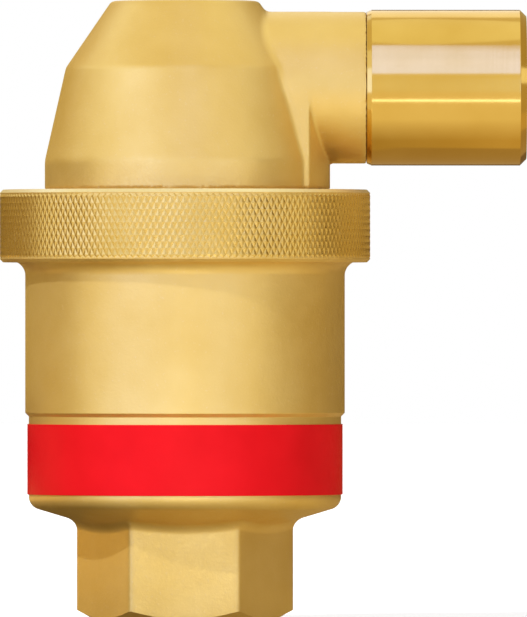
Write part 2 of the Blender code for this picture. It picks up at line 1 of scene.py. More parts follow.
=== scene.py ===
import math
import bmesh
import bpy
import numpy as np
from mathutils import Matrix, Vector


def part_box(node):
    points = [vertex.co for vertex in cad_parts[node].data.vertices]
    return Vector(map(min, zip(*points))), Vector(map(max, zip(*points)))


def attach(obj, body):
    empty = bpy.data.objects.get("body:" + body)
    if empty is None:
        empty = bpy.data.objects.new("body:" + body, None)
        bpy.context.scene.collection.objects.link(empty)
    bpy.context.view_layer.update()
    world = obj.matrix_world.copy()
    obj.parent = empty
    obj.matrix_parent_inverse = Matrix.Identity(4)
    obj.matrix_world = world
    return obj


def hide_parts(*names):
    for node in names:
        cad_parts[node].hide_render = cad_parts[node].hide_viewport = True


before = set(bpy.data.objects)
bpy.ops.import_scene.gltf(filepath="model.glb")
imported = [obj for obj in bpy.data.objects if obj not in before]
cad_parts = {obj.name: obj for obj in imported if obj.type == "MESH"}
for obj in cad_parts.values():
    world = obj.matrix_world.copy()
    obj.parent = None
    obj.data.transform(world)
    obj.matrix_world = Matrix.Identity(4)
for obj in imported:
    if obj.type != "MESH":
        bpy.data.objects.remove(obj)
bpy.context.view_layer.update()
mm = 0.001
print("frame loaded,", len(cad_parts), "nodes")

# places that the frame gives
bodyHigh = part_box("body")[1]
capLow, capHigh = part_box("cap")
couplingLow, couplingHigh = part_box("outlet_coupling")
bandLow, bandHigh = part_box("marking_band")
collarTop = bodyHigh[2]
collarRadius = bodyHigh[0]
crownTop = capHigh[2]
skirtLow = capLow[2]
outletZ = (couplingLow[2] + couplingHigh[2]) / 2
couplingRadius = (couplingHigh[2] - couplingLow[2]) / 2


def turnToOutlet(unit):  # from a spin round Z to one round the outlet's axis
    return Matrix.Translation((0, 0, outletZ / unit)) @ Matrix.Rotation(math.pi / 2, 4, "Y")


# material helpers

def addNode(tree, kind, values=None, **settings):
    node = tree.nodes.new(kind)
    for key, value in settings.items():
        setattr(node, key, value)
    for key, value in (values or {}).items():
        node.inputs[key].default_value = value
    return node


def startMaterial(name, shaderValues):
    made = bpy.data.materials.new(name)
    made.use_nodes = True
    tree = made.node_tree
    shader = tree.nodes["Principled BSDF"]
    for key, value in shaderValues.items():
        shader.inputs[key].default_value = value
    coords = addNode(tree, "ShaderNodeTexCoord")
    return made, tree, shader, coords.outputs["Object"]


def addNoise(tree, coords, scale, detail=2.0, rough=0.5, stretch=None):
    if stretch:
        mapping = addNode(tree, "ShaderNodeMapping", {"Scale": stretch})
        tree.links.new(coords, mapping.inputs["Vector"])
        coords = mapping.outputs["Vector"]
    values = {"Scale": scale, "Detail": detail, "Roughness": rough}
    noise = addNode(tree, "ShaderNodeTexNoise", values)
    tree.links.new(coords, noise.inputs["Vector"])
    return noise.outputs["Fac"]


def addRamp(tree, source, stops):
    ramp = addNode(tree, "ShaderNodeValToRGB")
    while len(ramp.color_ramp.elements) < len(stops):
        ramp.color_ramp.elements.new(0.5)
    for element, (place, colour) in zip(ramp.color_ramp.elements, stops):
        element.position = place
        element.color = (*colour, 1)
    tree.links.new(source, ramp.inputs["Fac"])
    return ramp.outputs["Color"]


def addRange(tree, source, low, high, fromLow=0.3, fromHigh=0.7):
    spread = addNode(tree, "ShaderNodeMapRange")
    ends = {"From Min": fromLow, "From Max": fromHigh, "To Min": low, "To Max": high}
    for key, value in ends.items():
        spread.inputs[key].default_value = value
    tree.links.new(source, spread.inputs["Value"])
    return spread.outputs["Result"]


def addBump(tree, shader, source, strength, distance, before=None):
    bump = addNode(tree, "ShaderNodeBump", {"Strength": strength, "Distance": distance})
    tree.links.new(source, bump.inputs["Height"])
    if before:
        tree.links.new(before, bump.inputs["Normal"])
    tree.links.new(bump.outputs["Normal"], shader.inputs["Normal"])
    return bump.outputs["Normal"]


def mixColours(tree, factor, first, second):
    mix = addNode(tree, "ShaderNodeMix", data_type="RGBA")
    tree.links.new(factor, mix.inputs[0])
    for socket, value in ((mix.inputs[6], first), (mix.inputs[7], second)):
        if isinstance(value, tuple):
            socket.default_value = (*value, 1)
        else:
            tree.links.new(value, socket)
    return mix.outputs[2]


# forged and blasted brass, a paler copy with a painted highlight for the cut collar edge, a darker copy with
# painted shade for the knurl, and turned brass
forgedLook = {"pale": (0.87, 0.635, 0.215), "deep": (0.80, 0.555, 0.155), "fleck": (0.88, 0.68, 0.34),
              "metal": 0.74, "cloud": 70, "grain": 2600, "pits": 910, "roughLow": 0.34, "roughHigh": 0.50,
              "fleckFrom": 0.60, "fleckFull": 0.76, "fleckMost": 0.65,
              "grainDepth": 0.00006, "pitBump": 0.22, "grainBump": 0.30}
# a smoother copy for the cut edge of the collar, its paler colour a painted highlight
cutHighlightLook = {**forgedLook, "pale": (0.98, 0.88, 0.56), "deep": (0.95, 0.82, 0.46), "roughHigh": 0.40}
# a darker copy of the forged brass: painted shade of the knurled collar
knurlShadeLook = {**forgedLook, "pale": (0.82, 0.575, 0.17), "deep": (0.74, 0.495, 0.12), "metal": 0.95,
               "roughLow": 0.25, "roughHigh": 0.36}
turnedLook = {"pale": (0.80, 0.54, 0.145), "deep": (0.74, 0.48, 0.11), "cloud": 120, "lines": 9000,
              "alongLines": 0.004, "rough": 0.12, "smoother": 0.92, "rougher": 1.12,
              "lineBump": 0.04, "lineDepth": 0.00002}


def forgedBrass(name, look):
    made, tree, shader, coords = startMaterial(name, {"Metallic": look["metal"]})
    cloud = addNoise(tree, coords, look["cloud"], 3.0, 0.6)
    grain = addNoise(tree, coords, look["grain"], 3.0, 0.65)
    pits = addNoise(tree, coords, look["pits"], 2.0, 0.7)
    tone = addRamp(tree, cloud, [(0.34, look["deep"]), (0.66, look["pale"])])
    flecks = addRange(tree, grain, 0.0, look["fleckMost"], look["fleckFrom"], look["fleckFull"])
    tone = mixColours(tree, flecks, tone, look["fleck"])
    tree.links.new(tone, shader.inputs["Base Color"])
    rough = addRange(tree, grain, look["roughLow"], look["roughHigh"])
    tree.links.new(rough, shader.inputs["Roughness"])
    pitted = addBump(tree, shader, pits, look["pitBump"], look["grainDepth"])
    addBump(tree, shader, grain, look["grainBump"], look["grainDepth"], pitted)
    return made


def turnedBrass(name, axis, rough, look=turnedLook):  # fine lines round the axis it was turned on
    made, tree, shader, coords = startMaterial(name, {"Metallic": 1.0})
    stretch = tuple(1.0 if key == axis else look["alongLines"] for key in "XYZ")
    lines = addNoise(tree, coords, look["lines"], 2.0, 0.6, stretch)
    cloud = addNoise(tree, coords, look["cloud"], 2.0)
    tone = addRamp(tree, cloud, [(0.3, look["deep"]), (0.7, look["pale"])])
    tree.links.new(tone, shader.inputs["Base Color"])
    spread = addRange(tree, lines, rough * look["smoother"], rough * look["rougher"])
    tree.links.new(spread, shader.inputs["Roughness"])
    addBump(tree, shader, lines, look["lineBump"], look["lineDepth"])
    return made


# glossy red film of the band
filmLook = {"deep": (0.77, 0.006, 0.012), "pale": (0.83, 0.008, 0.015), "specular": 0.06, "cloud": 160,
            "peel": 1400, "roughLow": 0.30, "roughHigh": 0.42, "peelBump": 0.08, "peelDepth": 0.00003}


def redFilm(name, look=filmLook):
    made, tree, shader, coords = startMaterial(name, {"Specular IOR Level": look["specular"]})
    cloud = addNoise(tree, coords, look["cloud"], 3.0)
    tone = addRamp(tree, cloud, [(0.3, look["deep"]), (0.7, look["pale"])])
    tree.links.new(tone, shader.inputs["Base Color"])
    peel = addNoise(tree, coords, look["peel"], 2.0)
    rough = addRange(tree, peel, look["roughLow"], look["roughHigh"])
    tree.links.new(rough, shader.inputs["Roughness"])
    addBump(tree, shader, peel, look["peelBump"], look["peelDepth"])
    return made


# rubber, fibre, stainless sheet and moulded plastic of the inner pieces
rubberLook = {"dark": (0.012, 0.012, 0.012), "light": (0.035, 0.034, 0.033), "roughLow": 0.55,
              "roughHigh": 0.75, "grain": 1800, "depth": 0.00004, "metal": 0.0}
fibreLook = {"dark": (0.24, 0.07, 0.05), "light": (0.42, 0.15, 0.10), "roughLow": 0.75,
             "roughHigh": 0.92, "grain": 2400, "depth": 0.00006, "metal": 0.0}
steelLook = {"dark": (0.52, 0.52, 0.51), "light": (0.66, 0.66, 0.64), "roughLow": 0.22,
             "roughHigh": 0.38, "grain": 2600, "depth": 0.00002, "metal": 1.0}
plasticLook = {"dark": (0.72, 0.70, 0.61), "light": (0.82, 0.80, 0.73), "roughLow": 0.38,
               "roughHigh": 0.50, "grain": 900, "depth": 0.00003, "metal": 0.0}


def plainFinish(name, look, stretch=None, bump=0.25):
    made, tree, shader, coords = startMaterial(name, {"Metallic": look["metal"]})
    grain = addNoise(tree, coords, look["grain"], 3.0, 0.6, stretch)
    tone = addRamp(tree, grain, [(0.3, look["dark"]), (0.7, look["light"])])
    tree.links.new(tone, shader.inputs["Base Color"])
    rough = addRange(tree, grain, look["roughLow"], look["roughHigh"])
    tree.links.new(rough, shader.inputs["Roughness"])
    addBump(tree, shader, grain, bump, look["depth"])
    return made


brass = forgedBrass("forgedBrass", forgedLook)
cutBrassHighlight = forgedBrass("cutBrassHighlight", cutHighlightLook)
knurlShadedBrass = forgedBrass("knurlShadedBrass", knurlShadeLook)
polished = turnedBrass("turnedBrass", "X", turnedLook["rough"])
smallBrass = turnedBrass("smallTurnedBrass", "Z", 0.22)
film = redFilm("redFilm")
rubber = plainFinish("blackRubber", rubberLook)
fibre = plainFinish("redFibre", fibreLook)
steel = plainFinish("rolledStainless", steelLook, stretch=(1.0, 0.02, 1.0))  # rolled along Y
plastic = plainFinish("paleMoulding", plasticLook)
print("materials made")


# mesh helpers

def makePiece(name, mesh, body, slot, material, *nodes):
    mesh.name = name
    piece = bpy.data.objects.new(name, mesh)
    bpy.context.scene.collection.objects.link(piece)
    mesh.materials.clear()
    mesh.materials.append(material)
    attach(piece, body)
    if nodes:
        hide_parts(*nodes)


def smoothMesh(mesh, degrees=34):
    mesh.shade_smooth()
    mesh.set_sharp_from_angle(angle=math.radians(degrees))
    return mesh


# corners flatter than straightDeg stay, a rounding takes at most a share of each side, and a point
# just outside it keeps the shading of the side flat
corners = {"straightDeg": 165, "mostOfSide": 0.45, "lead": 0.4, "leadOfSide": 0.04, "steps": 3}


def softened(points, radius, closed=True):  # rounds every corner of an outline a little
    steps = corners["steps"]
    made = []
    count = len(points)
    for i, corner in enumerate(points):
        here = Vector(corner)
        if not closed and i in (0, count - 1):
            made.append(tuple(here))
            continue
        before = Vector(points[i - 1]) - here
        after = Vector(points[(i + 1) % count]) - here
        angle = before.angle(after)
        if angle > math.radians(corners["straightDeg"]):
            made.append(tuple(here))
            continue
        most = corners["mostOfSide"]
        reach = min(radius / math.tan(angle / 2), before.length * most, after.length * most)
        start = here + before.normalized() * reach
        end = here + after.normalized() * reach
        lead = min(reach * corners["lead"], before.length * corners["leadOfSide"])
        made.append(tuple(start + before.normalized() * lead))
        for k in range(steps + 1):
            t = k / steps
            made.append(tuple(start * (1 - t) ** 2 + here * (2 * t * (1 - t)) + end * t * t))
        lead = min(reach * corners["lead"], after.length * corners["leadOfSide"])
        made.append(tuple(end + after.normalized() * lead))
    return made


def arcPoints(centre, radius, startDeg, endDeg, steps):
    turns = [math.radians(startDeg + (endDeg - startDeg) * i / steps) for i in range(steps + 1)]
    return [(centre[0] + radius * math.cos(t), centre[1] + radius * math.sin(t)) for t in turns]


def roundRing(radius, height, count):
    turns = [2 * math.pi * i / count for i in range(count)]
    return [(radius * math.cos(t), radius * math.sin(t), height) for t in turns]


def ringsToMesh(name, rings):  # a closed skin, up the outside and back down the bore
    mesh = bpy.data.meshes.new(name)
    shape = bmesh.new()
    rows = [[shape.verts.new(point) for point in ring] for ring in rings]
    for low, high in zip(rows, rows[1:] + rows[:1]):
        for i in range(len(low)):
            j = (i + 1) % len(low)
            shape.faces.new((low[i], low[j], high[j], high[i]))
    bmesh.ops.recalc_face_normals(shape, faces=shape.faces)
    shape.to_mesh(mesh)
    shape.free()
    return mesh


def spunMesh(name, outline, count):
    return ringsToMesh(name, [roundRing(radius, height, count) for radius, height in outline])


def solidSpin(name, outline, count, merge=1e-4):  # an outline in mm whose two ends lie on the axis
    mesh = bpy.data.meshes.new(name)
    shape = bmesh.new()
    verts = [shape.verts.new((radius, 0, height)) for radius, height in outline]
    edges = [shape.edges.new(pair) for pair in zip(verts, verts[1:])]
    bmesh.ops.spin(shape, geom=verts + edges, cent=(0, 0, 0), axis=(0, 0, 1),
                   angle=2 * math.pi, steps=count)
    bmesh.ops.remove_doubles(shape, verts=shape.verts, dist=merge)
    bmesh.ops.recalc_face_normals(shape, faces=shape.faces)
    shape.to_mesh(mesh)
    shape.free()
    return mesh


def evaluated(thing):
    graph = bpy.context.evaluated_depsgraph_get()
    return bpy.data.meshes.new_from_object(thing.evaluated_get(graph))


def holderOf(mesh, name="holder"):
    holder = bpy.data.objects.new(name, mesh)
    bpy.context.scene.collection.objects.link(holder)
    return holder


def combined(mesh, tools):  # tools are (operation, mesh) pairs
    holder = holderOf(mesh)
    spares = []
    for operation, toolMesh in tools:
        tool = holderOf(toolMesh, "tool")
        spares.append(tool)
        step = holder.modifiers.new(operation, "BOOLEAN")
        step.operation = operation
        step.object = tool
        step.solver = "MANIFOLD"
    made = evaluated(holder)
    for spare in spares + [holder]:
        bpy.data.objects.remove(spare, do_unlink=True)
    return made


# node trees for what repeats

def startTree(name, sockets):
    tree = bpy.data.node_groups.new(name, "GeometryNodeTree")
    for label, kind in sockets:
        tree.interface.new_socket(label, in_out="INPUT", socket_type=kind)
    tree.interface.new_socket("Geometry", in_out="OUTPUT", socket_type="NodeSocketGeometry")
    entry = tree.nodes.new("NodeGroupInput")
    leave = tree.nodes.new("NodeGroupOutput")
    return tree, entry.outputs, leave.inputs["Geometry"]


def treeMath(tree, operation, first, second=None):
    node = addNode(tree, "ShaderNodeMath", operation=operation)
    for socket, value in zip(node.inputs, (first, second)):
        if value is None:
            continue
        if isinstance(value, (int, float)):
            socket.default_value = value
        else:
            tree.links.new(value, socket)
    return node.outputs[0]


def endTree(tree, geometry, material, leave):
    real = tree.nodes.new("GeometryNodeRealizeInstances")
    paint = addNode(tree, "GeometryNodeSetMaterial", {"Material": material})
    tree.links.new(geometry, real.inputs["Geometry"])
    tree.links.new(real.outputs["Geometry"], paint.inputs["Geometry"])
    tree.links.new(paint.outputs["Geometry"], leave)


def runTree(name, tree, values):
    holder = holderOf(bpy.data.meshes.new(name))
    step = holder.modifiers.new("nodes", "NODES")
    step.node_group = tree
    for item in tree.interface.items_tree:
        if item.in_out == "INPUT":
            step[item.identifier] = values[item.name]
    made = evaluated(holder)
    bpy.data.objects.remove(holder, do_unlink=True)
    return made


def threadTree(name, material):  # a round-crested ridge along a helix
    tree, entry, leave = startTree(name, [("Radius", "NodeSocketFloat"), ("Pitch", "NodeSocketFloat"),
                                          ("Turns", "NodeSocketFloat"), ("Ridge", "NodeSocketFloat")])
    spiral = addNode(tree, "GeometryNodeCurveSpiral", {"Resolution": 72})
    tree.links.new(entry["Turns"], spiral.inputs["Rotations"])
    for key in ("Start Radius", "End Radius"):
        tree.links.new(entry["Radius"], spiral.inputs[key])
    tree.links.new(treeMath(tree, "MULTIPLY", entry["Pitch"], entry["Turns"]), spiral.inputs["Height"])
    section = addNode(tree, "GeometryNodeCurvePrimitiveCircle", {"Resolution": 8})
    tree.links.new(entry["Ridge"], section.inputs["Radius"])
    sweep = addNode(tree, "GeometryNodeCurveToMesh", {"Fill Caps": True})
    tree.links.new(spiral.outputs["Curve"], sweep.inputs["Curve"])
    tree.links.new(section.outputs["Curve"], sweep.inputs["Profile Curve"])
    endTree(tree, sweep.outputs["Mesh"], material, leave)
    return tree


def knurlTree(name, material):  # blunt four-sided points in staggered rows round a collar
    tree, entry, leave = startTree(name, [("Around", "NodeSocketInt"), ("Rows", "NodeSocketInt"),
                                          ("Radius", "NodeSocketFloat"), ("Low", "NodeSocketFloat"),
                                          ("Step", "NodeSocketFloat"), ("Half Width", "NodeSocketFloat"),
                                          ("Half Height", "NodeSocketFloat"), ("Lowest", "NodeSocketFloat"),
                                          ("Highest", "NodeSocketFloat"), ("Depth", "NodeSocketFloat"),
                                          ("Blunt", "NodeSocketFloat")])
    cloud = tree.nodes.new("GeometryNodePoints")
    total = treeMath(tree, "MULTIPLY", entry["Around"], entry["Rows"])
    tree.links.new(total, cloud.inputs["Count"])
    index = tree.nodes.new("GeometryNodeInputIndex").outputs["Index"]
    row = treeMath(tree, "FLOOR", treeMath(tree, "DIVIDE", index, entry["Around"]))
    stagger = treeMath(tree, "MULTIPLY", treeMath(tree, "MODULO", row, 2.0), 0.5)  # half a step
    column = treeMath(tree, "ADD", treeMath(tree, "MODULO", index, entry["Around"]), stagger)
    turn = treeMath(tree, "MULTIPLY", treeMath(tree, "DIVIDE", column, entry["Around"]), 2 * math.pi)
    across = treeMath(tree, "COSINE", turn)
    along = treeMath(tree, "SINE", turn)
    outward = tree.nodes.new("ShaderNodeCombineXYZ")
    tree.links.new(across, outward.inputs["X"])
    tree.links.new(along, outward.inputs["Y"])
    spot = tree.nodes.new("ShaderNodeCombineXYZ")
    tree.links.new(treeMath(tree, "MULTIPLY", across, entry["Radius"]), spot.inputs["X"])
    tree.links.new(treeMath(tree, "MULTIPLY", along, entry["Radius"]), spot.inputs["Y"])
    height = treeMath(tree, "ADD", entry["Low"], treeMath(tree, "MULTIPLY", row, entry["Step"]))
    tree.links.new(height, spot.inputs["Z"])
    tree.links.new(spot.outputs["Vector"], cloud.inputs["Position"])
    unitCone = {"Vertices": 4, "Radius Bottom": 1.0, "Depth": 1.0}
    cone = addNode(tree, "GeometryNodeMeshCone", unitCone)
    tree.links.new(entry["Blunt"], cone.inputs["Radius Top"])
    facing = addNode(tree, "FunctionNodeAxesToRotation", primary_axis="Z", secondary_axis="Y")
    facing.inputs["Secondary Axis"].default_value = (0, 0, 1)
    tree.links.new(outward.outputs["Vector"], facing.inputs["Primary Axis"])
    size = tree.nodes.new("ShaderNodeCombineXYZ")
    for key, source in (("X", "Half Width"), ("Y", "Half Height"), ("Z", "Depth")):
        tree.links.new(entry[source], size.inputs[key])
    copies = tree.nodes.new("GeometryNodeInstanceOnPoints")
    tree.links.new(cloud.outputs["Points"], copies.inputs["Points"])
    tree.links.new(cone.outputs["Mesh"], copies.inputs["Instance"])
    tree.links.new(facing.outputs["Rotation"], copies.inputs["Rotation"])
    tree.links.new(size.outputs["Vector"], copies.inputs["Scale"])
    real = tree.nodes.new("GeometryNodeRealizeInstances")
    tree.links.new(copies.outputs["Instances"], real.inputs["Geometry"])
    place = tree.nodes.new("ShaderNodeSeparateXYZ")
    position = tree.nodes.new("GeometryNodeInputPosition").outputs["Position"]
    tree.links.new(position, place.inputs["Vector"])
    inside = tree.nodes.new("ShaderNodeCombineXYZ")
    for key in "XY":
        tree.links.new(place.outputs[key], inside.inputs[key])
    level = treeMath(tree, "MAXIMUM", place.outputs["Z"], entry["Lowest"])
    tree.links.new(treeMath(tree, "MINIMUM", level, entry["Highest"]), inside.inputs["Z"])
    trimmed = tree.nodes.new("GeometryNodeSetPosition")  # outer rows end inside the collar's rims
    tree.links.new(real.outputs["Geometry"], trimmed.inputs["Geometry"])
    tree.links.new(inside.outputs["Vector"], trimmed.inputs["Position"])
    endTree(tree, trimmed.outputs["Geometry"], material, leave)
    return tree


def buildThread(name, size, radius, place, body, slot):
    values = {"Radius": radius * mm, "Pitch": size["pitch"] * mm, "Turns": size["turns"],
              "Ridge": size["ridge"] * mm}
    ridge = runTree(name, threadTree(name + "Nodes", polished), values)
    ridge.transform(place)
    makePiece(name, smoothMesh(ridge), body, slot, polished)


# chamber body: hexagon, sloping underside, wall and collar, sizes in millimetres
chamber = {"hexFlats": 26.0, "faceInset": 0.65, "chamferDeg": 30, "hexHeight": 13.17, "rootFillet": 1.75,
           "rootSteps": 10, "cornerSoft": 0.10, "endEdge": 0.12, "endLift": 0.03,
           "chamferSoft": (0.05, 0.015, 0.0), "softIn": 0.4, "softUp": 0.7, "underDeg": 16.7,
           "underCorner": 1.8, "land": 21.5, "landEdge": 28.10, "bandGap": 0.2, "shoulder": 0.5,
           "fillet": 2.0, "filletDeg": 65, "arcSteps": 12, "collar": 10.0, "chamfer": 0.45, "rim": 0.12,
           "bore": 20.8, "boreEdge": 0.4, "boreDepth": 8.7, "inside": 19.5, "floor": 18.66,
           "floorFall": 2.2, "port": 7.0, "socket": 10.35, "socketDepth": 12.5, "mouth": 0.9,
           "around": 360, "edge": 0.12}
knurl = {"around": 180, "rows": 10, "depth": 0.085, "sink": 0.03, "overlap": 1.36, "hold": 0.08,
         "blunt": 0.16}
# a thin proud ring on the collar's top chamfer that carries a painted highlight
highlightEdge = {"proud": 0.008, "thickness": 0.06}
inletThread = {"pitch": 1.814, "turns": 5.6, "ridge": 0.78, "start": 1.0, "sink": 0.1}


def hexRing(half, start, height, slope):  # at height where the radius is start, rising outwards by slope
    soft = chamber["cornerSoft"]
    count = chamber["around"]
    cornerTop = half / math.cos(math.pi / 6) - soft
    ring = []
    for i in range(count):
        turn = 2 * math.pi * i / count
        flat = half / math.cos(turn % (math.pi / 3) - math.pi / 6)
        radius = -soft * math.log(math.exp(-flat / soft) + math.exp(-cornerTop / soft))
        ring.append((radius * math.cos(turn), radius * math.sin(turn), height + (radius - start) * slope))
    return ring


def hexagonRings():  # from the end face up to the root fillet
    c = chamber
    half = c["hexFlats"] / 2
    face = half - c["faceInset"]
    lean = math.tan(math.radians(c["underDeg"]))
    chamferRise = math.tan(math.radians(c["chamferDeg"]))
    rings = [roundRing(face - c["endEdge"], 0.0, c["around"]), roundRing(face, c["endLift"], c["around"])]
    for soft in c["chamferSoft"]:  # rounds the outer edge of the end chamfer
        rings.append(hexRing(half - soft, face - soft * c["softIn"], soft * c["softUp"], chamferRise))
    rings.append(hexRing(half, face, c["endEdge"], chamferRise))
    fillet = c["rootFillet"]
    centre = (half + fillet, c["hexHeight"] + fillet * (lean - math.hypot(1, lean)))
    for flat, height in arcPoints(centre, fillet, 180, 90 + c["underDeg"], c["rootSteps"]):
        rings.append(hexRing(flat, flat, height, lean))
    return rings


def buildChamber():
    c = chamber
    count = c["around"]
    land, corner = c["land"], c["underCorner"]
    landLow = c["hexHeight"] + (land - c["hexFlats"] / 2) * math.tan(math.radians(c["underDeg"]))
    landLow += corner * math.tan(math.radians((90 - c["underDeg"]) / 2))
    top = collarTop / mm
    low = top - c["collar"]
    wall = land + c["shoulder"]
    wallLow = c["landEdge"] + c["shoulder"]
    wallTop = low - c["fillet"] * math.sin(math.radians(c["filletDeg"]))
    collar = collarRadius / mm
    face = collar - c["chamfer"]
    groove = collar - knurl["depth"]
    rim = c["chamfer"] + c["rim"]
    under = arcPoints((land - corner, landLow), corner, c["underDeg"] - 90, 0, c["arcSteps"])
    straight = [(land, bandLow[2] / mm - c["bandGap"]), (land, c["landEdge"]), (wall, wallLow)]
    hollow = arcPoints((wall + c["fillet"], wallTop), c["fillet"], 180, 180 - c["filletDeg"], c["arcSteps"])
    crest = [(face, low), (collar, low + c["chamfer"]), (collar, low + rim), (groove, low + rim),
             (groove, top - rim), (collar, top - rim), (collar, top - c["chamfer"]), (face, top)]
    inner = [(c["bore"] + c["boreEdge"], top), (c["bore"], top - c["boreEdge"]),
             (c["bore"], top - c["boreDepth"]), (c["inside"], top - c["boreDepth"]),
             (c["inside"], c["floor"]), (c["port"], c["floor"] - c["floorFall"]),
             (c["port"], c["socketDepth"]), (c["socket"], c["socketDepth"]),
             (c["socket"], c["mouth"]), (c["socket"] + c["mouth"], 0.0)]
    outline = softened(under + straight + hollow + crest + inner, c["edge"], closed=False)
    rings = hexagonRings() + [roundRing(radius, height, count) for radius, height in outline]
    rings = [[(x * mm, y * mm, z * mm) for x, y, z in ring] for ring in rings]
    body = smoothMesh(ringsToMesh("chamberBody", rings))
    makePiece("chamberBody", body, "chamber", "forged_brass", brass, "body")

    k = knurl
    space = (c["collar"] - 2 * rim) / k["rows"]
    values = {"Around": k["around"], "Rows": k["rows"], "Radius": (groove - k["sink"]) * mm,
              "Low": (low + rim + space / 2) * mm, "Step": space * mm,
              "Half Width": k["overlap"] * math.pi * collar / k["around"] * mm,
              "Half Height": k["overlap"] * space * mm, "Lowest": (low + rim - k["hold"]) * mm,
              "Highest": (top - rim + k["hold"]) * mm, "Depth": (k["depth"] + k["sink"]) * mm,
              "Blunt": k["blunt"]}
    # the knurl's points take the darker brass with painted shade
    points = runTree("collarKnurl", knurlTree("collarKnurlNodes", knurlShadedBrass), values)
    makePiece("collarKnurl", points, "chamber", "forged_brass", knurlShadedBrass)

    # the ring in paler brass is a painted highlight along the collar's top edge
    e = highlightEdge
    out, up = collar + e["proud"], top + e["proud"]
    trim = [(out, top - c["chamfer"]), (face, up), (face, up - e["thickness"]),
            (out - e["thickness"], top - c["chamfer"])]
    ring = spunMesh("collarEdgeHighlight", [(radius * mm, height * mm) for radius, height in trim], count)
    makePiece("collarEdgeHighlight", smoothMesh(ring), "chamber", "forged_brass", cutBrassHighlight)

    t = inletThread
    place = Matrix.Translation((0, 0, t["start"] * mm))
    buildThread("inletThread", t, c["socket"] - t["sink"], place, "chamber", "forged_brass")


buildChamber()
print("chamber made")

# red band
band = {"thickness": 0.28, "edge": 0.07, "around": 288}


def buildBand():
    low, high = bandLow[2] / mm, bandHigh[2] / mm
    outer = bandHigh[0] / mm
    inner = outer - band["thickness"]
    outline = softened([(outer, low), (outer, high), (inner, high), (inner, low)], band["edge"])
    outline = [(radius * mm, height * mm) for radius, height in outline]
    ring = smoothMesh(spunMesh("markingBand", outline, band["around"]))
    makePiece("markingBand", ring, "chamber", "red_film", film, "marking_band")


buildBand()
print("band made")

# cover: crown, cone and rim blended with the outlet branch and its web
cover = {"rim": 19.3, "rimRise": 4.0, "cone": 16.4, "coneRise": 12.8, "crown": 10.1, "branch": 10.44,
         "branchEnd": 24.98, "endEdge": 0.3, "web": 19.97, "foot": 0.05, "voxel": 0.33, "branchBlend": 0.6,
         "webInset": 0.08, "softEdge": 0.12, "topEdge": 0.5, "webEdge": 0.25, "wall": 2.4,
         "crownInset": 0.7, "coneDrop": 0.3, "slabHalf": 20, "roughAround": 96, "pipeAround": 72,
         "cutAround": 144, "sharpDeg": 40}
skirt = {"core": 19.9, "tuck": 0.3, "neck": 19.2, "reach": 3, "grooveRise": 0.85, "grooveHeight": 2.3,
         "groove": 18.5, "lip": 20.5, "lipHeight": 0.8, "lipEdge": 0.3}
coverThread = {"pitch": 1.5, "turns": 2.6, "ridge": 0.62, "drop": 0.75}
spigot = {"radius": 8.3, "end": 35.3, "edge": 0.5, "root": 2, "bore": 6.2, "past": 2, "bulkhead": 19.0,
          "spotFace": 15.5, "spotRadius": 8.0, "nozzleHole": 2.9, "holeStart": 8.0}


def smoothMax(a, b, blend):
    share = np.maximum(blend - np.abs(a - b), 0) / blend
    return np.maximum(a, b) + share * share * blend / 4


def smoothMin(a, b, blend):
    return -smoothMax(-a, -b, blend)


def coverField(p):  # signed distance of the cover's outside, in millimetres
    c = cover
    top = crownTop / mm
    face = collarTop / mm
    x, y, z = p[:, 0], p[:, 1], p[:, 2] - face
    rise = top - face
    radius = np.hypot(x, y)
    shoulder = c["rimRise"] + c["coneRise"]

    def slant(lowRadius, lowZ, highRadius, highZ):
        length = math.hypot(highZ - lowZ, lowRadius - highRadius)
        return ((radius - lowRadius) * (highZ - lowZ) + (z - lowZ) * (lowRadius - highRadius)) / length

    body = smoothMax(radius - c["rim"], slant(c["rim"], c["rimRise"], c["cone"], shoulder), c["softEdge"])
    body = smoothMax(body, slant(c["cone"], shoulder, c["crown"], rise), c["softEdge"])
    body = smoothMax(body, z - rise, c["topEdge"])
    axis = outletZ / mm - face
    pipe = np.hypot(y, z - axis) - c["branch"]
    pipe = smoothMax(pipe, x - c["branchEnd"], c["endEdge"])
    pipe = np.maximum(pipe, -x)
    slab = np.where(z > axis, np.hypot(y, z - axis), np.abs(y)) - c["branch"] + c["webInset"]
    slab = smoothMax(slab, radius - c["web"], c["webEdge"])
    slab = np.maximum(slab, -x)
    whole = smoothMin(slab, pipe, c["webEdge"])
    whole = smoothMin(body, whole, c["branchBlend"])
    return np.maximum(whole, c["foot"] - z)


def onField(points, rounds=5, step=0.01, leastSlope=0.05):
    for _ in range(rounds):
        here = coverField(points)
        slope = np.stack([coverField(points + step * unit) - coverField(points - step * unit)
                          for unit in np.eye(3)], axis=1) / (2 * step)
        steep = np.maximum((slope * slope).sum(axis=1), leastSlope)
        points = points - (here / steep)[:, None] * slope
    return points


